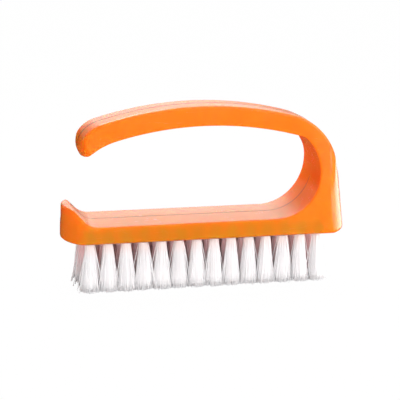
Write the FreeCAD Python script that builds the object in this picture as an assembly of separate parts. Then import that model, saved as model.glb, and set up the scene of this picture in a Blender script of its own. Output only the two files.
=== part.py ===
import FreeCAD, Part
import math
import os

# Nail brush. One moulded body carries a hooked handle over an open finger
# space, four rows of bristle tufts stand in blind holes in its underside, and
# a metal plate driven in with every tuft locks it at the bottom of its hole.
# X runs along the brush, Y across it and Z up. The bristle tips stand on
# Z = 0 and the origin is the middle of the footprint.

MM = 1.0

# Heights on the middle plane
BRISTLE_LENGTH = 16.0 * MM
BASE_THICKNESS = 6.15 * MM
FINGER_SPACE_HEIGHT = 30.45 * MM
HANDLE_THICKNESS = 6.7 * MM

# Ends of the body on the middle plane, at the height of its underside
LIP_END = -47.9 * MM
RISER_END = 47.75 * MM
TIP_SETBACK = 5.65 * MM
LIP_LEAN_SHARE = 0.05
RISER_LEAN_SHARE = 0.11

# Plan curves of the ends
BASE_END_RADIUS = 16.0 * MM
TIP_END_RADIUS = 21.0 * MM
LIP_CORNER_RADIUS = 4.6 * MM
RISER_CORNER_RADIUS = 2.8 * MM
TIP_CORNER_RADIUS = 1.8 * MM

# Heights above the base as shares of the finger space: where the ends pass
# from the lip's plan to the tip's, and where the tip starts to curl inwards
LIP_ZONE_SHARE = 0.39
TIP_ZONE_SHARE = 0.66
TIP_CURL_SHARE = 0.83
TIP_CURL_RADIUS = 6.0 * MM
TIP_CURL_DEPTH = 6.0 * MM

# Side walls, upright on the base and drawn in to the handle about a waist
BASE_HALF_WIDTH = 11.9 * MM
HANDLE_HALF_WIDTH = 7.0 * MM
WAIST_SHARE = 0.586
WAIST_SPREAD_SHARE = 0.302
PLAN_SPACING = 3.0 * MM

# Outer skin on the middle plane: crest, shoulder over the riser, rounded tip
CREST_X = -1.5 * MM
CREST_RADIUS = 117.9 * MM
SHOULDER_SETBACK = 23.55 * MM
SHOULDER_RADIUS = 19.5 * MM
SHOULDER_END_ANGLE = math.radians(14)
TIP_ROUND_SETBACK = 9.4 * MM
TIP_ROUND_RADIUS = 9.5 * MM
TIP_ROUND_END_ANGLE = math.radians(172)

# Inner skin: underside of the handle and its hooked end
UNDERSIDE_X = -0.1 * MM
UNDERSIDE_RADIUS = 114.1 * MM
HOOK_SETBACK = 18.2 * MM
HOOK_RADIUS = 24.0 * MM
HOOK_SLOPE = math.radians(33)
TIP_OVERRUN = 2.0 * MM

# Riser end of the finger space, with its radii as shares of the space's height
RISER_THICKNESS = 10.75 * MM
GRIP_RADIUS_SHARE = 0.4335
GRIP_HEIGHT_SHARE = 0.5205
GRIP_FOOT_SHARE = 0.5
GRIP_CORNER_RADIUS = 3.0 * MM

# Lip that rises at the open end of the base
LIP_SETBACK = 2.5 * MM
LIP_RISE = 5.3 * MM
LIP_CREST_RADIUS = 2.0 * MM
LIP_FOOT_RADIUS = 6.0 * MM
LIP_ANGLE = math.radians(45.5)

# Both mould halves draft away from the middle plane
SKIN_INSET = 0.49 * MM
SPAN_MARGIN = 2.1 * MM
END_MARGIN = 8.0 * MM

# Rounding of the rims: soft under the base, finer over the handle and finest
# round the finger space
BASE_RIM_RADIUS = 1.2 * MM
HANDLE_RIM_RADIUS = 0.9 * MM
FINE_RIM_RADIUS = 0.6 * MM
RIM_ANGLE = math.radians(7)
LEVEL_ANGLE = math.radians(10)

# Bristle field: the plastic left from the middle of the outer tufts to the
# sides and, beyond the corner tufts, to the lip's end and the riser's end, and
# the gap between neighbouring tufts at their tips
COLUMNS = 14
ROWS = 4
LIP_WALL = 5.75 * MM
RISER_WALL = 8.4 * MM
ROW_MARGIN = 2.975 * MM
HOLE_RADIUS = 1.7 * MM
HOLE_DEPTH = 4.3 * MM
TUFT_GAP = 0.15 * MM

# Plates that lock the tufts, wider than the holes so that they bite the wall
PLATE_BITE = 0.2 * MM
PLATE_THICKNESS = 0.3 * MM
PLATE_HEIGHT = 1.6 * MM
FOLD_HEIGHT = 0.5 * MM

BASE_TOP = BRISTLE_LENGTH + BASE_THICKNESS
UNDERSIDE_CREST = BASE_TOP + FINGER_SPACE_HEIGHT
HANDLE_CREST = UNDERSIDE_CREST + HANDLE_THICKNESS
HOLE_TOP = BRISTLE_LENGTH + HOLE_DEPTH
PLATE_WIDTH = 2 * (HOLE_RADIUS + PLATE_BITE)
TIP_END = LIP_END + TIP_SETBACK
HALF_SPAN = BASE_HALF_WIDTH + SPAN_MARGIN
OUTER_ROW = BASE_HALF_WIDTH - ROW_MARGIN
ROW_PITCH = 2 * OUTER_ROW / (ROWS - 1)
END_RISE = BASE_END_RADIUS - math.sqrt(BASE_END_RADIUS ** 2 - OUTER_ROW ** 2)
FIRST_COLUMN = LIP_END + END_RISE + LIP_WALL
LAST_COLUMN = RISER_END - END_RISE - RISER_WALL
COLUMN_PITCH = (LAST_COLUMN - FIRST_COLUMN) / (COLUMNS - 1)
TUFT_TIP_RADIUS = (min(COLUMN_PITCH, ROW_PITCH) - TUFT_GAP) / 2
QUARTER = math.pi / 2


def above_base(share):
    """Height of a point that lies at a share of the finger space above the base."""
    return BASE_TOP + share * FINGER_SPACE_HEIGHT


def polar(centre, radius, angle):
    return (centre[0] + radius * math.cos(angle), centre[1] + radius * math.sin(angle))


def heading(start, end):
    return math.atan2(end[1] - start[1], end[0] - start[0])


def side_place(y):
    """Placing of a flat pair (x, z) in the upright plane at y."""
    return lambda pair: FreeCAD.Vector(pair[0], y, pair[1])


def level_place(z):
    """Placing of a flat pair (x, y) in the level plane at z."""
    return lambda pair: FreeCAD.Vector(pair[0], pair[1], z)


def line_edge(place, start, end):
    return Part.makeLine(place(start), place(end))


def arc_edge(place, centre, radius, start, end):
    angles = (start, (start + end) / 2, end)
    points = [place(polar(centre, radius, angle)) for angle in angles]
    return Part.Arc(*points).toShape()


def nested_centre(centre, radius, inner_x, inner_radius):
    """Centre at inner_x of a circle that touches a larger one from inside, near its top."""
    reach = radius - inner_radius
    rise = math.sqrt(reach ** 2 - (inner_x - centre[0]) ** 2)
    return (inner_x, centre[1] + rise)


def corner_centre(centre_a, reach_a, centre_b, reach_b):
    """Point at two given reaches from two centres, on the right of the line a to b."""
    apart = math.hypot(centre_b[0] - centre_a[0], centre_b[1] - centre_a[1])
    along = (apart ** 2 + reach_a ** 2 - reach_b ** 2) / (2 * apart)
    turn = math.acos(along / reach_a)
    return polar(centre_a, reach_a, heading(centre_a, centre_b) - turn)


def handle_edges(place, inset):
    """Outer skin from the foot of the riser over the handle to the tip."""
    crest = (CREST_X, HANDLE_CREST - CREST_RADIUS)
    shoulder = nested_centre(crest, CREST_RADIUS, RISER_END - SHOULDER_SETBACK, SHOULDER_RADIUS)
    tip_round = nested_centre(crest, CREST_RADIUS, TIP_END + TIP_ROUND_SETBACK, TIP_ROUND_RADIUS)
    crest_start = heading(crest, shoulder)
    crest_end = heading(crest, tip_round)
    shoulder_radius = SHOULDER_RADIUS - inset
    shoulder_start = polar(shoulder, shoulder_radius, SHOULDER_END_ANGLE)
    spread = (shoulder_start[1] - BRISTLE_LENGTH) * math.tan(SHOULDER_END_ANGLE)
    riser_foot = (shoulder_start[0] + spread, BRISTLE_LENGTH)
    tip_foot = polar(tip_round, TIP_ROUND_RADIUS - inset, TIP_ROUND_END_ANGLE)
    edges = [
        line_edge(place, riser_foot, shoulder_start),
        arc_edge(place, shoulder, shoulder_radius, SHOULDER_END_ANGLE, crest_start),
        arc_edge(place, crest, CREST_RADIUS - inset, crest_start, crest_end),
        arc_edge(place, tip_round, TIP_ROUND_RADIUS - inset, crest_end, TIP_ROUND_END_ANGLE),
    ]
    return edges, riser_foot, tip_foot


def hook_edges(place, inset, under):
    """Underside of the hooked tip: a straight run at the hook's slope, then its arc."""
    hook = nested_centre(under, UNDERSIDE_RADIUS, TIP_END + HOOK_SETBACK, HOOK_RADIUS)
    under_start = heading(under, hook)
    radius = HOOK_RADIUS + inset
    run_end = polar(hook, radius, QUARTER + HOOK_SLOPE)
    run_length = run_end[0] - (TIP_END - TIP_OVERRUN)
    start = (run_end[0] - run_length, run_end[1] - run_length * math.tan(HOOK_SLOPE))
    edges = [
        line_edge(place, start, run_end),
        arc_edge(place, hook, radius, QUARTER + HOOK_SLOPE, under_start),
    ]
    return edges, start, under_start


def grip_edges(place, inset):
    """Inner skin from the hooked tip along the underside and down the riser to the base."""
    under = (UNDERSIDE_X, UNDERSIDE_CREST - UNDERSIDE_RADIUS)
    space_end = RISER_END - RISER_THICKNESS
    grip_radius = GRIP_RADIUS_SHARE * FINGER_SPACE_HEIGHT
    foot_radius = GRIP_FOOT_SHARE * FINGER_SPACE_HEIGHT
    upper = (space_end - grip_radius, above_base(GRIP_HEIGHT_SHARE))
    lower = (space_end - foot_radius, BASE_TOP + foot_radius)
    reach_under = UNDERSIDE_RADIUS - GRIP_CORNER_RADIUS
    corner = corner_centre(under, reach_under, upper, grip_radius - GRIP_CORNER_RADIUS)
    under_end = heading(under, corner)
    corner_end = heading(upper, corner)
    upper_radius = grip_radius + inset
    lower_radius = foot_radius + inset
    hook, start, under_start = hook_edges(place, inset, under)
    edges = hook + [
        arc_edge(place, under, UNDERSIDE_RADIUS + inset, under_start, under_end),
        arc_edge(place, corner, GRIP_CORNER_RADIUS + inset, under_end, corner_end),
        arc_edge(place, upper, upper_radius, corner_end, 0),
        line_edge(place, polar(upper, upper_radius, 0), polar(lower, lower_radius, 0)),
        arc_edge(place, lower, lower_radius, 0, -QUARTER),
    ]
    return edges, start, polar(lower, lower_radius, -QUARTER)


def lip_edges(place, inset, base_start):
    """Top of the base, the slope that climbs to the lip and the lip's level crest."""
    crest = (LIP_END + LIP_SETBACK, BASE_TOP + LIP_RISE - LIP_CREST_RADIUS)
    crest_radius = LIP_CREST_RADIUS - inset
    foot_radius = LIP_FOOT_RADIUS + inset
    slope_angle = QUARTER - LIP_ANGLE
    reach = LIP_CREST_RADIUS + LIP_FOOT_RADIUS
    climb = crest[1] - BASE_TOP - LIP_FOOT_RADIUS + reach * math.sin(slope_angle)
    run = reach * math.cos(slope_angle) + climb / math.tan(LIP_ANGLE)
    foot = (crest[0] + run, BASE_TOP + LIP_FOOT_RADIUS)
    slope_start = polar(foot, foot_radius, slope_angle - math.pi)
    crest_top = polar(crest, crest_radius, QUARTER)
    far_end = (LIP_END - END_MARGIN, crest_top[1])
    edges = [
        line_edge(place, base_start, polar(foot, foot_radius, -QUARTER)),
        arc_edge(place, foot, foot_radius, -QUARTER, slope_angle - math.pi),
        line_edge(place, slope_start, polar(crest, crest_radius, slope_angle)),
        arc_edge(place, crest, crest_radius, slope_angle, QUARTER),
        line_edge(place, crest_top, far_end),
    ]
    return edges, far_end


def outline_wire(y):
    """Side outline of the body in the plane at y.

    The inset grows with the square of y, so the skins are crowned along the
    middle plane: inset = SKIN_INSET * (y / HALF_SPAN) ** 2 at the three planes
    used. Outer curves lose it from their radius and inner ones gain it.
    """
    place = side_place(y)
    inset = SKIN_INSET * (y / HALF_SPAN) ** 2
    handle, riser_foot, tip_foot = handle_edges(place, inset)
    grip, underside_start, base_start = grip_edges(place, inset)
    lip, lip_far_end = lip_edges(place, inset, base_start)
    end_foot = (lip_far_end[0], BRISTLE_LENGTH)
    tip_run = [line_edge(place, tip_foot, underside_start)]
    closing = [line_edge(place, lip_far_end, end_foot), line_edge(place, end_foot, riser_foot)]
    return Part.Wire(handle + tip_run + grip + lip + closing)


def outline_solid():
    wires = [outline_wire(y) for y in (-HALF_SPAN, 0, HALF_SPAN)]
    return Part.makeLoft(wires, True, False)


def step_share(height):
    """Smooth step from 0 at the lip's height to 1 at the handle tip."""
    bottom = above_base(LIP_ZONE_SHARE)
    share = (height - bottom) / (above_base(TIP_ZONE_SHARE) - bottom)
    share = min(1, max(0, share))
    return share * share * (3 - 2 * share)


def wall_half_width(height):
    """Half width of the body: an S-shaped draw from the base in to the handle."""
    spread = WAIST_SPREAD_SHARE * FINGER_SPACE_HEIGHT
    draw_share = (1 + math.tanh((height - above_base(WAIST_SHARE)) / spread)) / 2
    return BASE_HALF_WIDTH + (HANDLE_HALF_WIDTH - BASE_HALF_WIDTH) * draw_share


def tip_end(height):
    """End of the handle tip: upright, then curling inwards towards its underside."""
    below = min(TIP_CURL_DEPTH, max(0, above_base(TIP_CURL_SHARE) - height))
    return TIP_END + below ** 2 / (2 * TIP_CURL_RADIUS)


def end_corner(extreme, way, radius, corner, half):
    """Arch centre, corner centre and the angle where the two arcs of an end meet."""
    arch_x = extreme - way * radius
    lift = half - corner
    along = math.sqrt((radius - corner) ** 2 - lift ** 2)
    return arch_x, arch_x + way * along, lift, math.atan2(lift, along)


def plan_wire(height):
    """Level section of the body: straight sides, arched ends and round corners."""
    place = level_place(height)
    share = step_share(height)
    half = wall_half_width(height)
    above = height - BRISTLE_LENGTH
    lip_end = LIP_END + LIP_LEAN_SHARE * above
    left_end = lip_end + (tip_end(height) - lip_end) * share
    left_radius = BASE_END_RADIUS + (TIP_END_RADIUS - BASE_END_RADIUS) * share
    corner = LIP_CORNER_RADIUS + (TIP_CORNER_RADIUS - LIP_CORNER_RADIUS) * share
    left_arch, left_x, left_lift, left_turn = end_corner(left_end, -1, left_radius, corner, half)
    right_end = RISER_END - RISER_LEAN_SHARE * above
    right_arch, right_x, right_lift, right_turn = end_corner(
        right_end, 1, BASE_END_RADIUS, RISER_CORNER_RADIUS, half)
    left_start = math.pi - left_turn
    left_stop = math.pi + left_turn
    return Part.Wire([
        line_edge(place, (left_x, -half), (right_x, -half)),
        arc_edge(place, (right_x, -right_lift), RISER_CORNER_RADIUS, -QUARTER, -right_turn),
        arc_edge(place, (right_arch, 0), BASE_END_RADIUS, -right_turn, right_turn),
        arc_edge(place, (right_x, right_lift), RISER_CORNER_RADIUS, right_turn, QUARTER),
        line_edge(place, (right_x, half), (left_x, half)),
        arc_edge(place, (left_x, left_lift), corner, QUARTER, left_start),
        arc_edge(place, (left_arch, 0), left_radius, left_start, left_stop),
        arc_edge(place, (left_x, -left_lift), corner, left_stop, math.pi + QUARTER),
    ])


def plan_solid():
    bottom = BRISTLE_LENGTH - PLAN_SPACING
    steps = math.ceil((HANDLE_CREST + PLAN_SPACING - bottom) / PLAN_SPACING)
    wires = [plan_wire(bottom + PLAN_SPACING * step) for step in range(steps + 1)]
    return Part.makeLoft(wires, True, False)


def normal_at(face, spot):
    u, v = face.Surface.parameter(spot)
    return face.normalAt(u, v)


def rim_edges(solid, part):
    """Edges of one part of the body where two skins meet at more than the rim angle.

    The part is "base" for the rim round the underside, "handle" where both
    skins face away from the middle of the finger space, and "space" for what
    is left, round the finger space.
    """
    middle = FreeCAD.Vector(0, 0, (BASE_TOP + UNDERSIDE_CREST) / 2)
    down = FreeCAD.Vector(0, 0, -1)
    rims = []
    for edge in solid.Edges:
        spot = edge.valueAt((edge.FirstParameter + edge.LastParameter) / 2)
        normals = [normal_at(face, spot) for face in solid.ancestorsOfType(edge, Part.Face)]
        if normals[0].getAngle(normals[1]) > RIM_ANGLE:
            outward = min(normal.dot(spot - middle) for normal in normals)
            if spot.z < BASE_TOP and min(normal.getAngle(down) for normal in normals) < LEVEL_ANGLE:
                place = "base"
            elif outward > 0 and spot.z > BASE_TOP:
                place = "handle"
            else:
                place = "space"
            if place == part:
                rims.append(edge)
    return rims


def blank_body():
    body = outline_solid().common(plan_solid()).Solids[0]
    body = body.makeFillet(BASE_RIM_RADIUS, rim_edges(body, "base"))
    body = body.makeFillet(HANDLE_RIM_RADIUS, rim_edges(body, "handle"))
    return body.makeFillet(FINE_RIM_RADIUS, rim_edges(body, "space"))


def tuft_spots():
    """Middle of every tuft by column, from the lip to the riser, and row, front to back."""
    spots = {}
    for column in range(COLUMNS):
        for row in range(ROWS):
            x = FIRST_COLUMN + column * COLUMN_PITCH
            y = (row - (ROWS - 1) / 2) * ROW_PITCH
            spots[(column + 1, row + 1)] = (x, y)
    return spots


def tuft_hole(spot):
    start = FreeCAD.Vector(spot[0], spot[1], 0)
    return Part.makeCylinder(HOLE_RADIUS, HOLE_TOP, start)


def lock_plate(spot):
    """Flat plate across its hole, just below the fold of the filaments."""
    corner = FreeCAD.Vector(spot[0] - PLATE_THICKNESS / 2, spot[1] - PLATE_WIDTH / 2,
                            HOLE_TOP - FOLD_HEIGHT - PLATE_HEIGHT)
    return Part.makeBox(PLATE_THICKNESS, PLATE_WIDTH, PLATE_HEIGHT, corner)


def tuft(spot, plate):
    """Bundle of filaments: straight in the hole, then fanning out evenly to the tips."""
    foot = FreeCAD.Vector(spot[0], spot[1], 0)
    mouth = FreeCAD.Vector(spot[0], spot[1], BRISTLE_LENGTH)
    fan = Part.makeCone(TUFT_TIP_RADIUS, HOLE_RADIUS, BRISTLE_LENGTH, foot)
    root = Part.makeCylinder(HOLE_RADIUS, HOLE_DEPTH, mouth)
    return fan.fuse(root).cut(plate)


def save(node, shape):
    shape.exportStep(os.path.join("parts", node + ".step"))


def build():
    os.makedirs("parts", exist_ok=True)
    spots = tuft_spots()
    plates = {key: lock_plate(spot) for key, spot in spots.items()}
    holes = [tuft_hole(spot) for spot in spots.values()]
    body = blank_body().cut(Part.makeCompound(holes)).cut(Part.makeCompound(list(plates.values())))
    save("moulded_body", body.Solids[0])
    for (column, row), spot in spots.items():
        node = "bristle_tuft_column_%02d_row_%d" % (column, row)
        save(node, tuft(spot, plates[(column, row)]).Solids[0])
    save("tuft_lock_plates", Part.makeCompound(list(plates.values())))


build()
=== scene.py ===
import math

import bmesh
import bpy
import numpy as np
from mathutils import Matrix, Vector


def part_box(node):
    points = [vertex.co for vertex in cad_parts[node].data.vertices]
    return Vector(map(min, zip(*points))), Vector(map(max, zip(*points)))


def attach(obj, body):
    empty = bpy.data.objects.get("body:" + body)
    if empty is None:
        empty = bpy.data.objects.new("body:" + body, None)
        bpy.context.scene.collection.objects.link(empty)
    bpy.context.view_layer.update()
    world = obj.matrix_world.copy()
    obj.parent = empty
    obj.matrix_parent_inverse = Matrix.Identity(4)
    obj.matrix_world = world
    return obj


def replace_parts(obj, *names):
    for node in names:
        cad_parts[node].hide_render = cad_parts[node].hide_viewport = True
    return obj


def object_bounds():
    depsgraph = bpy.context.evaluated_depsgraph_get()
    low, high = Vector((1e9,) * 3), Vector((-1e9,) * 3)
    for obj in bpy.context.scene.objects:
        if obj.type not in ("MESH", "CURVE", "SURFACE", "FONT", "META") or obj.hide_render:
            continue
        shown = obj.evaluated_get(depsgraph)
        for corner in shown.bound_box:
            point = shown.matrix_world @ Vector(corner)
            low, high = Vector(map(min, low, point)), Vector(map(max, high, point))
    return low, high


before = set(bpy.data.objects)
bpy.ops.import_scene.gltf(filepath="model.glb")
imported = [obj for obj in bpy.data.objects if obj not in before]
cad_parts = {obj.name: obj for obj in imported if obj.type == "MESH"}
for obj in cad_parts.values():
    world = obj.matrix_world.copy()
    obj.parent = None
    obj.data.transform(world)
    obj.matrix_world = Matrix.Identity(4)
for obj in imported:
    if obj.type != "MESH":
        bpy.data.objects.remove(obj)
cad_box = [list(map(float, corner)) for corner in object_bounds()]

MM = 0.001

# Bristle field, its columns and rows and the underside over it as in the part's source
COLUMNS = 14
ROWS = 4
UNDERSIDE = 16.0 * MM
FIELD_HALF_WIDTH = 11.7 * MM
TUFT_SEED = 14

# Filaments of a tuft
FILAMENTS = 190
FILAMENT_RADIUS = 0.12 * MM
FILAMENT_SIDES = 4
FILAMENT_RINGS = 6
ROOT_HEIGHT = UNDERSIDE + 1.4 * MM
ROOT_SPREAD = 1.3 * MM
TIP_SPREAD_ALONG = 3.15 * MM
TIP_SPREAD_ACROSS = 2.85 * MM
GOLDEN_ANGLE = math.radians(137.508)

# How unevenly filaments stand and are trimmed
TUFT_SIZE_SHARES = (0.95, 1.04)
REACH_DEVIATION_SHARE = 0.05
BOW_DEVIATION = 0.16 * MM
TUFT_LEAN_DEVIATION = 0.15 * MM
TRIM_UNEVENNESS = 0.35 * MM
STRAY_SHARE = 0.06
STRAY_FAN = 1.6
STRAY_TRIM = 0.6 * MM

# Packed middle of a tuft
CORE_SIDES = 48
CORE_REACH_DEVIATIONS = 1.6
CORE_END = 1.3 * MM
CORE_FLUTES = 12
CORE_FLUTE_SHARE = 0.05

# Bead that the mould's parting leaves on the middle plane
BEAD_HALF_WIDTH = 0.15 * MM
BEAD_HEIGHT = 0.05 * MM
BEAD_SINK = 0.03 * MM
BEAD_POINTS = 5
WELD_DISTANCE = 0.001 * MM
CUT_TOLERANCE = WELD_DISTANCE / 10

# Where the parting is trimmed clean: from this height, this far about a middle (x, z)
TRIM_START = (31.0 * MM, 35.0 * MM)
TRIM_MIDDLE = (24.0 * MM, 38.0 * MM)
TRIM_REACH = (15.5 * MM, 16.5 * MM)

# Marks of use
SCUFF_TURN = (0.3, 0.5, 0.7)
SCUFF_STRETCH = (1.0, 9.0, 9.0)
SCUFF_DETAIL = 4.0
SCUFF_REACH = 0.006
SCUFF_DEPTH = 0.01 * MM
NOISE_MIDDLE = 0.5
TINT_BAND = (0.3, 0.7)

# Orange plastic
BODY_LIGHT = (0.88, 0.218, 0.014)
BODY_DEEP = (0.85, 0.204, 0.011)
BODY_ROUGHNESS = 0.17
BEAD_LIGHT = (0.42, 0.085, 0.022)
BEAD_DEEP = (0.30, 0.055, 0.014)
BEAD_ROUGHNESS = 0.5
ORANGE_MOTTLE_SCALE = 60.0
ORANGE_SCUFF_SCALE = 35.0
GLOSS_BAND = (0.25, 0.75)
GLOSS_VARIATION = 0.08
SCUFF_DULLING = 0.08
PLASTIC_IOR = 1.5
SCATTER_DEPTH = 10.0 * MM
SCATTER_SHARES = (1.0, 0.1, 0.025)
PEEL_SCALE = 420.0
PEEL_DETAIL = 2.0
PEEL_STRENGTH = 0.2
PEEL_DEPTH = 0.04 * MM

# Stain along the parting, its two edges and the heights over which it widens
PARTING_STAIN = (0.34, 0.06, 0.012)
PARTING_STAIN_SHARE = 0.8
PARTING_STAIN_EDGES = (0.12 * MM, 0.30 * MM)
PARTING_WIDENING = (45.0 * MM, 50.0 * MM)
HANDLE_DISTANCE_SHARE = 0.45
WANDER = 0.1 * MM
WANDER_SCALE = 90.0
WANDER_DETAIL = 3.0

# Painted shade along the rim above the bristles, from its foot to its top
RIM_PAINTED_SHADE = (0.36, 0.07, 0.010)
RIM_PAINTED_SHADE_SHARE = 0.6
RIM_FOOT = (UNDERSIDE + 0.01 * MM, UNDERSIDE + 0.06 * MM)
RIM_TOP = (UNDERSIDE + 0.1 * MM, UNDERSIDE + 0.8 * MM)

# White filament, with painted pink bounce light near the roots and in the inner rows
FILAMENT_TINTS = ((0.955, 0.945, 0.955), (0.975, 0.965, 0.975))
ROOT_PAINTED_BOUNCE = (0.96, 0.86, 0.85)
ROOT_PAINTED_BOUNCE_HEIGHTS = (10.5 * MM, 15.5 * MM)
INNER_PAINTED_BOUNCE = (0.99, 0.72, 0.74)
INNER_PAINTED_BOUNCE_HEIGHTS = (2.0 * MM, 14.0 * MM)
INNER_ROWS_EDGE = (4.5 * MM, 6.5 * MM)
FILAMENT_MOTTLE_SCALE = 260.0
FILAMENT_SCUFF_SCALE = 120.0
FILAMENT_ROUGHNESS = (0.34, 0.46)
FILAMENT_SCUFF_STRENGTH = 0.2
FILAMENT_IOR = 1.53

# Metal strip of the lock plates
STRIP_TINTS = ((0.55, 0.55, 0.53), (0.70, 0.70, 0.67))
STRIP_SCUFF_TINT = (0.40, 0.39, 0.37)
STRIP_SCUFF_SHARE = 0.5
STRIP_MOTTLE_SCALE = 400.0
STRIP_SCUFF_SCALE = 500.0
STRIP_BAND = (0.2, 0.8)
STRIP_ROUGHNESS = (0.28, 0.42)
STRIP_SCUFF_STRENGTH = 0.3

# Floor, as the camera, reflections and light see it
FLOOR_REACH = 6.0
FLOOR_WHITE_SHARE = 0.985
FLOOR_PAPER = (0.93, 0.93, 0.93)
FLOOR_ROUGHNESS = 0.9
FLOOR_MIRRORED_DARK = (0.04, 0.04, 0.04)
FLOOR_MIRRORED_LIGHT = (0.9, 0.9, 0.9)
MIRRORED_PATCH_LEFT = (-0.01, 0.06)
MIRRORED_PATCH_FRONT = (0.16, 0.24)

# Room: each row is a span of the direction and the brightness at its two ends
WALL_TO_BACK = (-0.3, 0.75, 0.25, 1.4)
WALL_TO_TOP = (0.04, 0.10, 0.03, 1.0)
WALL_TO_RIGHT = (-0.24, 0.08, 0.2, 1.0)
FILL_TO_RIGHT = (-0.7, 0.3, 0.05, 1.12)
FILL_TO_BACK = (-0.2, 0.7, 1.0, 1.2)
LIGHT_BOUNCES = 10

# Camera solved from the photograph
CAMERA_YAW = math.radians(13.049)
CAMERA_ELEVATION = math.radians(12.748)
CAMERA_ROLL = math.radians(0.356)
CAMERA_DISTANCE = 514.49 * MM
CAMERA_TARGET = (-1.151 * MM, 0.0, 26.73 * MM)
CAMERA_NEAR = 10.0 * MM
FOCAL_PIXELS = 1554.74
PHOTO_PIXELS = 400
SENSOR_WIDTH = 36.0

# Sockets of Blender's Mix node: factor, first and second value
NUMBER_MIX_INPUTS = (0, 2, 3)
COLOUR_MIX_INPUTS = (0, 6, 7)
COLOUR_MIX_OUTPUT = 2


# Node tools
def add_node(tree, kind, **settings):
    node = tree.nodes.new(kind)
    for name, value in settings.items():
        setattr(node, name, value)
    return node


def feed(tree, value, socket):
    """Put a number, a colour or another node's output into a socket."""
    if isinstance(value, bpy.types.NodeSocket):
        tree.links.new(value, socket)
    elif isinstance(value, tuple):
        socket.default_value = value + (1.0,)
    else:
        socket.default_value = value


def mix_colour(tree, factor, first, second):
    node = add_node(tree, "ShaderNodeMix", data_type="RGBA")
    for place, value in zip(COLOUR_MIX_INPUTS, (factor, first, second)):
        feed(tree, value, node.inputs[place])
    return node.outputs[COLOUR_MIX_OUTPUT]


def mix_number(tree, factor, first, second):
    node = add_node(tree, "ShaderNodeMix", data_type="FLOAT")
    for place, value in zip(NUMBER_MIX_INPUTS, (factor, first, second)):
        feed(tree, value, node.inputs[place])
    return node.outputs[0]


def map_range(tree, value, low, high, out_low=0.0, out_high=1.0):
    """Smooth step from out_low, where the value is low, to out_high, where it is high."""
    node = add_node(tree, "ShaderNodeMapRange", interpolation_type="SMOOTHSTEP")
    feed(tree, value, node.inputs["Value"])
    for name, number in (("From Min", low), ("From Max", high), ("To Min", out_low), ("To Max", out_high)):
        feed(tree, number, node.inputs[name])
    return node.outputs["Result"]


def calculate(tree, operation, first, second=0.0):
    node = add_node(tree, "ShaderNodeMath", operation=operation)
    for socket, value in zip(node.inputs, (first, second)):
        feed(tree, value, socket)
    return node.outputs[0]


def separate(tree, vector):
    node = add_node(tree, "ShaderNodeSeparateXYZ")
    tree.links.new(vector, node.inputs[0])
    return node.outputs["X"], node.outputs["Y"], node.outputs["Z"]


def noise(tree, coordinates, scale, detail):
    node = add_node(tree, "ShaderNodeTexNoise")
    tree.links.new(coordinates, node.inputs["Vector"])
    node.inputs["Scale"].default_value = scale
    node.inputs["Detail"].default_value = detail
    return node.outputs["Fac"]


def new_material(name):
    material = bpy.data.materials.new(name)
    material.use_nodes = True
    tree = material.node_tree
    shader = tree.nodes["Principled BSDF"]
    coordinates = add_node(tree, "ShaderNodeTexCoord").outputs["Object"]
    return material, tree, shader, coordinates


def bump(tree, height, strength, depth):
    node = add_node(tree, "ShaderNodeBump")
    node.inputs["Strength"].default_value = strength
    node.inputs["Distance"].default_value = depth
    tree.links.new(height, node.inputs["Height"])
    return node.outputs["Normal"]


def handling_marks_group():
    """Fine marks from use: a broad mottle and thin scuffs.

    Mottle is soft noise. Scuffs are the thin bands where a stretched noise
    crosses its middle value.
    """
    group = bpy.data.node_groups.new("handling_marks", "ShaderNodeTree")
    group.interface.new_socket("Vector", in_out="INPUT", socket_type="NodeSocketVector")
    for name in ("Mottle Scale", "Scuff Scale"):
        group.interface.new_socket(name, in_out="INPUT", socket_type="NodeSocketFloat")
    for name in ("Mottle", "Scuffs"):
        group.interface.new_socket(name, in_out="OUTPUT", socket_type="NodeSocketFloat")
    start = group.nodes.new("NodeGroupInput")
    end = group.nodes.new("NodeGroupOutput")
    mottle = add_node(group, "ShaderNodeTexNoise")
    group.links.new(start.outputs["Vector"], mottle.inputs["Vector"])
    group.links.new(start.outputs["Mottle Scale"], mottle.inputs["Scale"])
    group.links.new(mottle.outputs["Fac"], end.inputs["Mottle"])
    stretch = add_node(group, "ShaderNodeMapping")
    stretch.inputs["Rotation"].default_value = SCUFF_TURN
    stretch.inputs["Scale"].default_value = SCUFF_STRETCH
    group.links.new(start.outputs["Vector"], stretch.inputs["Vector"])
    lines = add_node(group, "ShaderNodeTexNoise")
    lines.inputs["Detail"].default_value = SCUFF_DETAIL
    group.links.new(stretch.outputs["Vector"], lines.inputs["Vector"])
    group.links.new(start.outputs["Scuff Scale"], lines.inputs["Scale"])
    away = calculate(group, "ABSOLUTE", calculate(group, "SUBTRACT", lines.outputs["Fac"], NOISE_MIDDLE))
    group.links.new(map_range(group, away, 0.0, SCUFF_REACH, 1.0, 0.0), end.inputs["Scuffs"])
    return group


handling_marks = handling_marks_group()


def marks(tree, coordinates, mottle_scale, scuff_scale):
    node = add_node(tree, "ShaderNodeGroup")
    node.node_tree = handling_marks
    tree.links.new(coordinates, node.inputs["Vector"])
    node.inputs["Mottle Scale"].default_value = mottle_scale
    node.inputs["Scuff Scale"].default_value = scuff_scale
    return node.outputs["Mottle"], node.outputs["Scuffs"]


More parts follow.
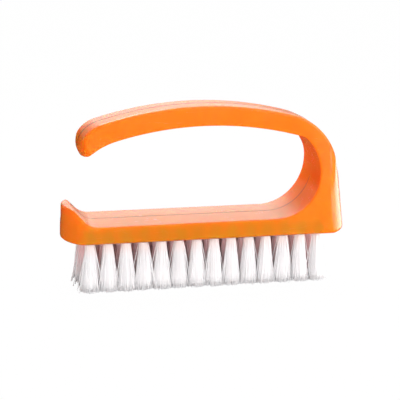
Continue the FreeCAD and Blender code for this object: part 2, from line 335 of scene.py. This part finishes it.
# Finishes
def orange_body(name, light, deep, roughness):
    """Gloss orange moulding: two close tints in a flow mottle, faint scuffs and a fine peel.

    The colour is returned for the caller to stain and link.
    """
    material, tree, shader, coordinates = new_material(name)
    mottle, scuffs = marks(tree, coordinates, ORANGE_MOTTLE_SCALE, ORANGE_SCUFF_SCALE)
    colour = mix_colour(tree, map_range(tree, mottle, *TINT_BAND), deep, light)
    gloss = map_range(tree, mottle, *GLOSS_BAND, roughness, roughness + GLOSS_VARIATION)
    gloss = calculate(tree, "ADD", gloss, calculate(tree, "MULTIPLY", scuffs, SCUFF_DULLING))
    tree.links.new(gloss, shader.inputs["Roughness"])
    peel = noise(tree, coordinates, PEEL_SCALE, PEEL_DETAIL)
    tree.links.new(bump(tree, peel, PEEL_STRENGTH, PEEL_DEPTH), shader.inputs["Normal"])
    shader.inputs["IOR"].default_value = PLASTIC_IOR
    shader.inputs["Subsurface Weight"].default_value = 1.0
    shader.inputs["Subsurface Radius"].default_value = SCATTER_SHARES
    shader.inputs["Subsurface Scale"].default_value = SCATTER_DEPTH
    return material, tree, shader, coordinates, colour


def trimmed_share(tree, sideways, height):
    """Share of the parting that is trimmed: 1 on the inner face of the riser, 0 elsewhere."""
    along = calculate(tree, "SUBTRACT", sideways, TRIM_MIDDLE[0])
    above = calculate(tree, "SUBTRACT", height, TRIM_MIDDLE[1])
    along_squared = calculate(tree, "MULTIPLY", along, along)
    above_squared = calculate(tree, "MULTIPLY", above, above)
    away = calculate(tree, "SQRT", calculate(tree, "ADD", along_squared, above_squared))
    near = map_range(tree, away, *TRIM_REACH, 1.0, 0.0)
    return calculate(tree, "MULTIPLY", near, map_range(tree, height, *TRIM_START))


def moulded_orange():
    """Orange of the body, stained along the mould's parting, with painted shade along the rim above the
    bristles.

    The parting's stain wanders a little about the middle plane. It is about
    twice as wide on the handle, because distances from the plane count less
    there, and it is trimmed clean on the inner face of the riser.
    """
    material, tree, shader, coordinates, colour = orange_body(
        "orange_moulded_plastic", BODY_LIGHT, BODY_DEEP, BODY_ROUGHNESS)
    sideways, across, height = separate(tree, coordinates)
    wander = noise(tree, coordinates, WANDER_SCALE, WANDER_DETAIL)
    wander = calculate(tree, "SUBTRACT", wander, NOISE_MIDDLE)
    off_seam = calculate(tree, "ADD", across, calculate(tree, "MULTIPLY", wander, WANDER))
    off_seam = calculate(tree, "ABSOLUTE", off_seam)
    widening = map_range(tree, height, *PARTING_WIDENING, 1.0, HANDLE_DISTANCE_SHARE)
    off_seam = calculate(tree, "MULTIPLY", off_seam, widening)
    seam = map_range(tree, off_seam, *PARTING_STAIN_EDGES, 1.0, 0.0)
    left_on = calculate(tree, "SUBTRACT", 1.0, trimmed_share(tree, sideways, height))
    seam = calculate(tree, "MULTIPLY", seam, left_on)
    colour = mix_colour(tree, calculate(tree, "MULTIPLY", seam, PARTING_STAIN_SHARE), colour, PARTING_STAIN)
    # Painted shade: a darker band on the rim just above the bristles, from RIM_FOOT to RIM_TOP.
    rim = map_range(tree, height, *RIM_TOP, 1.0, 0.0)
    rim = calculate(tree, "MULTIPLY", rim, map_range(tree, height, *RIM_FOOT))
    colour = mix_colour(tree, calculate(tree, "MULTIPLY", rim, RIM_PAINTED_SHADE_SHARE), colour, RIM_PAINTED_SHADE)
    tree.links.new(colour, shader.inputs["Base Color"])
    return material


def parting_bead():
    """Darker orange of the bead along the parting, rubbed lighter in places."""
    material, tree, shader, _, colour = orange_body(
        "orange_parting_bead", BEAD_LIGHT, BEAD_DEEP, BEAD_ROUGHNESS)
    tree.links.new(colour, shader.inputs["Base Color"])
    return material


def white_filament():
    """Satin white filament, with painted pink bounce light from the orange body where it leaves the holes.

    In the two inner rows a stronger painted pink of bounce light grows from
    near the tips up to the roots.
    """
    material, tree, shader, coordinates = new_material("white_bristle_filament")
    mottle, scuffs = marks(tree, coordinates, FILAMENT_MOTTLE_SCALE, FILAMENT_SCUFF_SCALE)
    _, across, height = separate(tree, coordinates)
    colour = mix_colour(tree, map_range(tree, mottle, *TINT_BAND), *FILAMENT_TINTS)
    # Painted bounce light: pinker towards the roots, under the orange body.
    colour = mix_colour(tree, map_range(tree, height, *ROOT_PAINTED_BOUNCE_HEIGHTS), colour, ROOT_PAINTED_BOUNCE)
    # Painted bounce light: a stronger pink in the two inner rows, growing towards the roots.
    within = map_range(tree, calculate(tree, "ABSOLUTE", across), *INNER_ROWS_EDGE, 1.0, 0.0)
    inner = calculate(tree, "MULTIPLY", map_range(tree, height, *INNER_PAINTED_BOUNCE_HEIGHTS), within)
    colour = mix_colour(tree, inner, colour, INNER_PAINTED_BOUNCE)
    tree.links.new(colour, shader.inputs["Base Color"])
    tree.links.new(map_range(tree, mottle, *TINT_BAND, *FILAMENT_ROUGHNESS), shader.inputs["Roughness"])
    tree.links.new(bump(tree, scuffs, FILAMENT_SCUFF_STRENGTH, SCUFF_DEPTH), shader.inputs["Normal"])
    shader.inputs["IOR"].default_value = FILAMENT_IOR
    return material


def rolled_strip():
    """Plain rolled metal strip of the lock plates: a soft mottle, thin scuffs and a dull sheen."""
    material, tree, shader, coordinates = new_material("lock_plate_metal")
    mottle, scuffs = marks(tree, coordinates, STRIP_MOTTLE_SCALE, STRIP_SCUFF_SCALE)
    colour = mix_colour(tree, mottle, *STRIP_TINTS)
    scuffed = calculate(tree, "MULTIPLY", scuffs, STRIP_SCUFF_SHARE)
    colour = mix_colour(tree, scuffed, colour, STRIP_SCUFF_TINT)
    tree.links.new(colour, shader.inputs["Base Color"])
    tree.links.new(map_range(tree, mottle, *STRIP_BAND, *STRIP_ROUGHNESS), shader.inputs["Roughness"])
    tree.links.new(bump(tree, scuffs, STRIP_SCUFF_STRENGTH, SCUFF_DEPTH), shader.inputs["Normal"])
    shader.inputs["Metallic"].default_value = 1.0
    return material


# Tufts
def filament_paths(rng, centre):
    """Middle lines of one tuft's filaments, as an array (filament, ring, xyz).

    Roots fill the hole as a sunflower: the angle grows by the golden angle
    and the radius with the square root of the index. Each filament leans out
    evenly from its root to its place at the tips, which lies at its share of
    the tip spread, and bows aside by its own amount times share squared. A
    few strays lean STRAY_FAN times as far. All are held within the field
    sideways and trimmed near the plane of the tips.
    """
    index = np.arange(FILAMENTS)
    share_out = np.sqrt((index + 0.5) / FILAMENTS)
    angle = index * GOLDEN_ANGLE + rng.uniform(0, 2 * math.pi)
    outward = np.stack([np.cos(angle), np.sin(angle)], axis=1)
    root_reach = share_out * ROOT_SPREAD
    root = outward * root_reach[:, None]
    spread = np.array([TIP_SPREAD_ALONG, TIP_SPREAD_ACROSS]) * rng.uniform(*TUFT_SIZE_SHARES)
    stray = rng.uniform(size=FILAMENTS) < STRAY_SHARE
    reach = share_out * rng.normal(1.0, REACH_DEVIATION_SHARE, FILAMENTS) * np.where(stray, STRAY_FAN, 1.0)
    fan = outward * (reach[:, None] * spread - root_reach[:, None])
    bow = rng.normal(0.0, BOW_DEVIATION, (FILAMENTS, 2)) + rng.normal(0.0, TUFT_LEAN_DEVIATION, (1, 2))
    along = np.linspace(0.0, 1.0, FILAMENT_RINGS)
    trim = rng.uniform(0.0, TRIM_UNEVENNESS, FILAMENTS) + stray * rng.uniform(0.0, STRAY_TRIM, FILAMENTS)
    share = along[None, :, None]
    flat = root[:, None, :] + fan[:, None, :] * share
    flat = flat + bow[:, None, :] * share ** 2 + np.array(centre)[None, None, :]
    flat[:, :, 1] = np.clip(flat[:, :, 1], -FIELD_HALF_WIDTH, FIELD_HALF_WIDTH)
    height = ROOT_HEIGHT + (trim[:, None] - ROOT_HEIGHT) * along[None, :]
    return np.concatenate([flat, height[:, :, None]], axis=2)


def tube_faces(rings, sides):
    """Corner indices of a tube: quads round every wall, then its root cap and its tip cap."""
    side = np.arange(sides)
    after = (side + 1) % sides
    ring = np.arange(rings - 1)[:, None] * sides
    corners = [ring + side, ring + sides + side, ring + sides + after, ring + after]
    walls = np.stack(corners, axis=2).reshape(-1, 4)
    return walls, side, (rings - 1) * sides + side[::-1]


def filament_points(paths):
    """Rings of the filaments: points on a level circle about every point of every path."""
    turn = np.arange(FILAMENT_SIDES) * 2 * math.pi / FILAMENT_SIDES
    circle = np.stack([np.cos(turn), np.sin(turn), np.zeros_like(turn)], axis=1) * FILAMENT_RADIUS
    return (paths[:, :, None, :] + circle).reshape(-1, 3)


def core_points(paths):
    """Rings of the tuft's packed middle, which stops short of the free ends.

    A ring's centre is the mean of the filaments, with its height drawn up
    evenly: the floor's height becomes CORE_END, and ROOT_HEIGHT stays. Its
    reach is CORE_REACH_DEVIATIONS times the filaments' standard deviation,
    times 1 + CORE_FLUTE_SHARE * cos(CORE_FLUTES * turn).
    """
    turn = np.arange(CORE_SIDES) * 2 * math.pi / CORE_SIDES
    flutes = 1 + CORE_FLUTE_SHARE * np.cos(CORE_FLUTES * turn)
    circle = np.stack([np.cos(turn) * flutes, np.sin(turn) * flutes, np.zeros_like(turn)], axis=1)
    middle = paths.mean(axis=0)
    middle[:, 2] = CORE_END + middle[:, 2] * (1 - CORE_END / ROOT_HEIGHT)
    reach = CORE_REACH_DEVIATIONS * paths.std(axis=0)
    return (middle[:, None, :] + reach[:, None, :] * circle).reshape(-1, 3)


def smooth_mesh(name, points, faces):
    mesh = bpy.data.meshes.new(name)
    mesh.from_pydata(points.tolist(), [], faces)
    mesh.update()
    mesh.shade_smooth()
    return mesh


def tuft_mesh(name, paths):
    """One tuft: thin filaments along the given paths, standing round a packed, fluted core."""
    count, rings, _ = paths.shape
    walls, root_cap, tip_cap = tube_faces(rings, FILAMENT_SIDES)
    start = np.arange(count)[:, None] * rings * FILAMENT_SIDES
    quads = np.concatenate([(start[:, :, None] + walls).reshape(-1, 4), start + root_cap, start + tip_cap])
    first = count * rings * FILAMENT_SIDES
    core_walls, core_root, core_tip = tube_faces(rings, CORE_SIDES)
    core_caps = [(first + core_root).tolist(), (first + core_tip).tolist()]
    faces = quads.tolist() + (first + core_walls).tolist() + core_caps
    return smooth_mesh(name, np.concatenate([filament_points(paths), core_points(paths)]), faces)


def add_piece(mesh, material):
    mesh.materials.append(material)
    piece = bpy.data.objects.new(mesh.name, mesh)
    bpy.context.scene.collection.objects.link(piece)
    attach(piece, "root")
    return piece


def add_tufts(material):
    """Every tuft stands where its node does, in the middle of the node's box, and replaces it."""
    rng = np.random.default_rng(TUFT_SEED)
    for column in range(COLUMNS):
        for row in range(ROWS):
            node = "bristle_tuft_column_%02d_row_%d" % (column + 1, row + 1)
            low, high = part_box(node)
            centre = ((low[0] + high[0]) / 2, (low[1] + high[1]) / 2)
            mesh = tuft_mesh(node + "_filaments", filament_paths(rng, centre))
            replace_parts(add_piece(mesh, material), node)


# Parting bead
def body_section():
    """Closed outline of the body on the middle plane, as an array of (x, z) points in order.

    A welded copy of the body's mesh is cut by the plane Y = 0, and the
    longest loop of cut edges is followed from neighbour to neighbour.
    """
    body = bmesh.new()
    body.from_mesh(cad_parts["moulded_body"].data)
    bmesh.ops.remove_doubles(body, verts=body.verts, dist=WELD_DISTANCE)
    whole = body.verts[:] + body.edges[:] + body.faces[:]
    cut = bmesh.ops.bisect_plane(body, geom=whole, dist=CUT_TOLERANCE, plane_co=(0, 0, 0), plane_no=(0, 1, 0),
                                 clear_inner=True, clear_outer=True)
    edges = [item for item in cut["geom_cut"] if isinstance(item, bmesh.types.BMEdge)]
    neighbours = {}
    for edge in edges:
        first, second = edge.verts
        neighbours.setdefault(first, []).append(second)
        neighbours.setdefault(second, []).append(first)
    loops = []
    while neighbours:
        vertex = next(iter(neighbours))
        loop = []
        while vertex is not None:
            loop.append((vertex.co.x, vertex.co.z))
            vertex = next((other for other in neighbours.pop(vertex) if other in neighbours), None)
        loops.append(loop)
    body.free()
    return np.array(max(loops, key=len))


def ramp(values, low, high):
    """Even rise from 0 at low to 1 at high, flat beyond them."""
    return np.clip((values - low) / (high - low), 0.0, 1.0)


def bead_mesh(name, outline):
    """Thin bead that follows a closed outline on the middle plane.

    Its section is a flat arch of points spaced evenly across, from -1 to 1
    half widths. They lie out from the outline by
    (height + sink) * (1 - across ** 2) - sink, so both sides end below the
    skin. Out is the outline's own normal in the plane: its chord direction
    turned by a quarter. On the inner face of the riser the arch is trimmed
    away below the skin.
    """
    chord = np.roll(outline, -1, axis=0) - np.roll(outline, 1, axis=0)
    normal = np.stack([chord[:, 1], -chord[:, 0]], axis=1)
    normal /= np.linalg.norm(normal, axis=1)[:, None]
    after = np.roll(outline, -1, axis=0)
    area = float(np.sum(outline[:, 0] * after[:, 1] - after[:, 0] * outline[:, 1]))
    normal *= math.copysign(1.0, area)
    across = np.linspace(-1.0, 1.0, BEAD_POINTS)
    from_middle = np.hypot(outline[:, 0] - TRIM_MIDDLE[0], outline[:, 1] - TRIM_MIDDLE[1])
    trimmed = ramp(outline[:, 1], *TRIM_START) * (1 - ramp(from_middle, *TRIM_REACH))
    arch = (BEAD_HEIGHT + BEAD_SINK) * (1 - across ** 2)
    lift = arch[None, :] * (1 - trimmed[:, None]) - BEAD_SINK
    flat = outline[:, None, :] + normal[:, None, :] * lift[:, :, None]
    points = np.empty((len(outline), BEAD_POINTS, 3))
    points[:, :, 0] = np.clip(flat[:, :, 0], cad_box[0][0], cad_box[1][0])
    points[:, :, 1] = across[None, :] * BEAD_HALF_WIDTH
    points[:, :, 2] = np.clip(flat[:, :, 1], cad_box[0][2], cad_box[1][2])
    ring = np.arange(len(outline))[:, None] * BEAD_POINTS
    following = np.roll(ring, -1, axis=0)
    strip = np.arange(BEAD_POINTS)
    beside = np.roll(strip, -1)
    corners = [ring + strip, following + strip, following + beside, ring + beside]
    if area < 0:
        corners.reverse()
    faces = np.stack(corners, axis=2).reshape(-1, 4)
    return smooth_mesh(name, points.reshape(-1, 3), faces.tolist())


def dress(node, material):
    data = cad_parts[node].data
    data.materials.clear()
    data.materials.append(material)


# Floor and light
def add_floor():
    """Wide level plane at the bristle tips.

    The camera sees it nearly white, with a trace of the soft shadow left in.
    Reflections see it dark, but for a bright patch behind the object and to
    the right.
    """
    mesh = bpy.data.meshes.new("floor")
    corners = [(x * FLOOR_REACH, y * FLOOR_REACH, 0) for x, y in ((-1, -1), (1, -1), (1, 1), (-1, 1))]
    mesh.from_pydata(corners, [], [(0, 1, 2, 3)])
    floor = bpy.data.objects.new("floor", mesh)
    bpy.context.scene.collection.objects.link(floor)
    material, tree, shader, coordinates = new_material("pale_floor")
    path = add_node(tree, "ShaderNodeLightPath")
    sideways, back, _ = separate(tree, coordinates)
    lit = calculate(tree, "MULTIPLY", map_range(tree, sideways, *MIRRORED_PATCH_LEFT),
                    map_range(tree, back, *MIRRORED_PATCH_FRONT))
    mirrored = mix_colour(tree, lit, FLOOR_MIRRORED_DARK, FLOOR_MIRRORED_LIGHT)
    paper = mix_colour(tree, path.outputs["Is Glossy Ray"], FLOOR_PAPER, mirrored)
    tree.links.new(paper, shader.inputs["Base Color"])
    shader.inputs["Roughness"].default_value = FLOOR_ROUGHNESS
    shader.inputs["Specular IOR Level"].default_value = 0.0
    glow = add_node(tree, "ShaderNodeEmission")
    mix = add_node(tree, "ShaderNodeMixShader")
    seen = calculate(tree, "MULTIPLY", path.outputs["Is Camera Ray"], FLOOR_WHITE_SHARE)
    tree.links.new(seen, mix.inputs[0])
    tree.links.new(shader.outputs[0], mix.inputs[1])
    tree.links.new(glow.outputs[0], mix.inputs[2])
    tree.links.new(mix.outputs[0], tree.nodes["Material Output"].inputs[0])
    mesh.materials.append(material)


def light_world():
    """Pale studio: white behind the object for the camera, soft fill, and a bright back wall in reflections.

    Reflections see the wall's brightness grow from the front of the room to
    its back and from left to right, and fade below the horizon. The fill
    grows from left to right and a little towards the back.
    """
    world = bpy.data.worlds.new("studio_room")
    bpy.context.scene.world = world
    world.use_nodes = True
    tree = world.node_tree
    background = tree.nodes["Background"]
    path = add_node(tree, "ShaderNodeLightPath")
    sideways, back, up = separate(tree, add_node(tree, "ShaderNodeTexCoord").outputs["Generated"])
    wall = map_range(tree, back, *WALL_TO_BACK)
    wall = calculate(tree, "MULTIPLY", wall, map_range(tree, up, *WALL_TO_TOP))
    wall = calculate(tree, "MULTIPLY", wall, map_range(tree, sideways, *WALL_TO_RIGHT))
    fill = map_range(tree, sideways, *FILL_TO_RIGHT)
    fill = calculate(tree, "MULTIPLY", fill, map_range(tree, back, *FILL_TO_BACK))
    lit = mix_number(tree, path.outputs["Is Glossy Ray"], fill, wall)
    strength = mix_number(tree, path.outputs["Is Camera Ray"], lit, 1.0)
    tree.links.new(strength, background.inputs["Strength"])
    background.inputs["Color"].default_value = (1, 1, 1, 1)


def add_lamp(name, place, target, size, power, mirrored=True):
    """Rectangular softbox aimed at a target; one that isn't mirrored leaves no reflection in the gloss."""
    lamp = bpy.data.lights.new(name, "AREA")
    lamp.shape = "RECTANGLE"
    lamp.size, lamp.size_y = size
    lamp.energy = power
    holder = bpy.data.objects.new(name, lamp)
    holder.location = place
    holder.visible_glossy = mirrored
    aim = Vector(target) - Vector(place)
    holder.rotation_euler = aim.to_track_quat("-Z", "Y").to_euler()
    bpy.context.scene.collection.objects.link(holder)


def add_lamps():
    """Lamps of the studio, in metres and watts."""
    add_lamp("front_softbox", place=(0.6, -0.66, 0.42), target=(0.0, 0.0, 0.02),
             size=(0.5, 0.44), power=1.5)
    add_lamp("overhead_softbox", place=(-0.2, 0.2, 0.75), target=(0.0, 0.0, 0.03),
             size=(0.7, 0.5), power=1.2)
    add_lamp("back_softbox", place=(-0.03, 0.16, 0.24), target=(0.035, 0.0, 0.03),
             size=(0.12, 0.12), power=0.35)
    add_lamp("low_front_card", place=(-0.13, -0.55, 0.05), target=(0.0, 0.0, 0.012),
             size=(0.3, 0.08), power=1.15, mirrored=False)
    add_lamp("right_card", place=(0.1, -0.025, 0.014), target=(0.0, -0.025, 0.014),
             size=(0.17, 0.03), power=0.045)


# Camera
def add_camera():
    """Camera solved from the photograph: a long lens, a little left of and above the front.

    It stands back from its target, which is on the middle plane, by its
    distance along the viewing direction.
    """
    level = math.cos(CAMERA_ELEVATION)
    drop = math.sin(CAMERA_ELEVATION)
    forward = Vector((math.sin(CAMERA_YAW) * level, math.cos(CAMERA_YAW) * level, -drop))
    right = Vector((math.cos(CAMERA_YAW), -math.sin(CAMERA_YAW), 0.0))
    up = right.cross(forward)
    rolled_right = right * math.cos(CAMERA_ROLL) + up * math.sin(CAMERA_ROLL)
    rolled_up = -right * math.sin(CAMERA_ROLL) + up * math.cos(CAMERA_ROLL)
    data = bpy.data.cameras.new("photo_camera")
    data.sensor_width = SENSOR_WIDTH
    data.lens = SENSOR_WIDTH * FOCAL_PIXELS / PHOTO_PIXELS
    data.clip_start = CAMERA_NEAR
    camera = bpy.data.objects.new("photo_camera", data)
    turned = Matrix((rolled_right, rolled_up, -forward)).transposed().to_4x4()
    camera.matrix_world = Matrix.Translation(Vector(CAMERA_TARGET) - forward * CAMERA_DISTANCE) @ turned
    bpy.context.scene.collection.objects.link(camera)
    bpy.context.scene.camera = camera


dress("moulded_body", moulded_orange())
dress("tuft_lock_plates", rolled_strip())
add_tufts(white_filament())
add_piece(bead_mesh("parting_line", body_section()), parting_bead())
add_floor()
light_world()
add_lamps()
add_camera()

scene = bpy.context.scene
scene.view_settings.view_transform = "Standard"
scene.cycles.diffuse_bounces = LIGHT_BOUNCES
